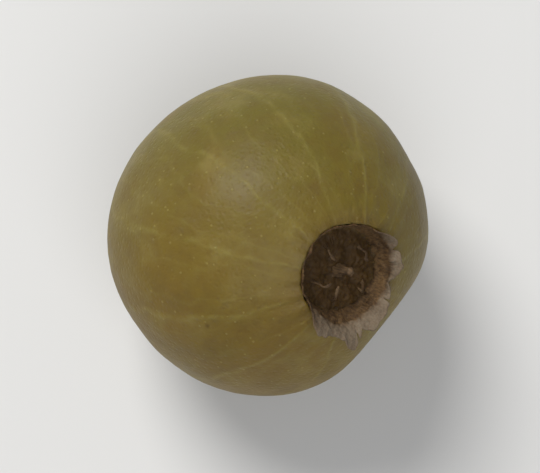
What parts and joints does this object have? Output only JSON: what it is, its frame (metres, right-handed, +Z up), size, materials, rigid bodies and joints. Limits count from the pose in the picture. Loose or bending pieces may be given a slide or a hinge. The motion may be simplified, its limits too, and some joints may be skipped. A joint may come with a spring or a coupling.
{
  "type": "green currant",
  "caption": "Whole round green currant berry with a dried flower cup at one end and a short stalk stub at the other, resting on a small flat spot.",
  "frame": {"origin": "centre of the small flat spot that the berry rests on", "axes": "+Z up, square to the flat spot; the flower end leans 38 degrees from +Z, towards 38 degrees clockwise of +X seen from above"},
  "size_m": [0.0089, 0.0089, 0.0087],
  "materials": {
    "berry_skin": "satin",
    "dried_flower": "matte",
    "stalk": "matte"
  },
  "bodies": {
    "root": {"berry": "berry_skin", "dried_calyx": "dried_flower", "dried_style": "dried_flower", "dried_stamen_1": "dried_flower", "dried_stamen_2": "dried_flower", "dried_stamen_3": "dried_flower", "dried_stamen_4": "dried_flower", "dried_stamen_5": "dried_flower", "stalk_stub": "stalk"}
  },
  "joints": []
}
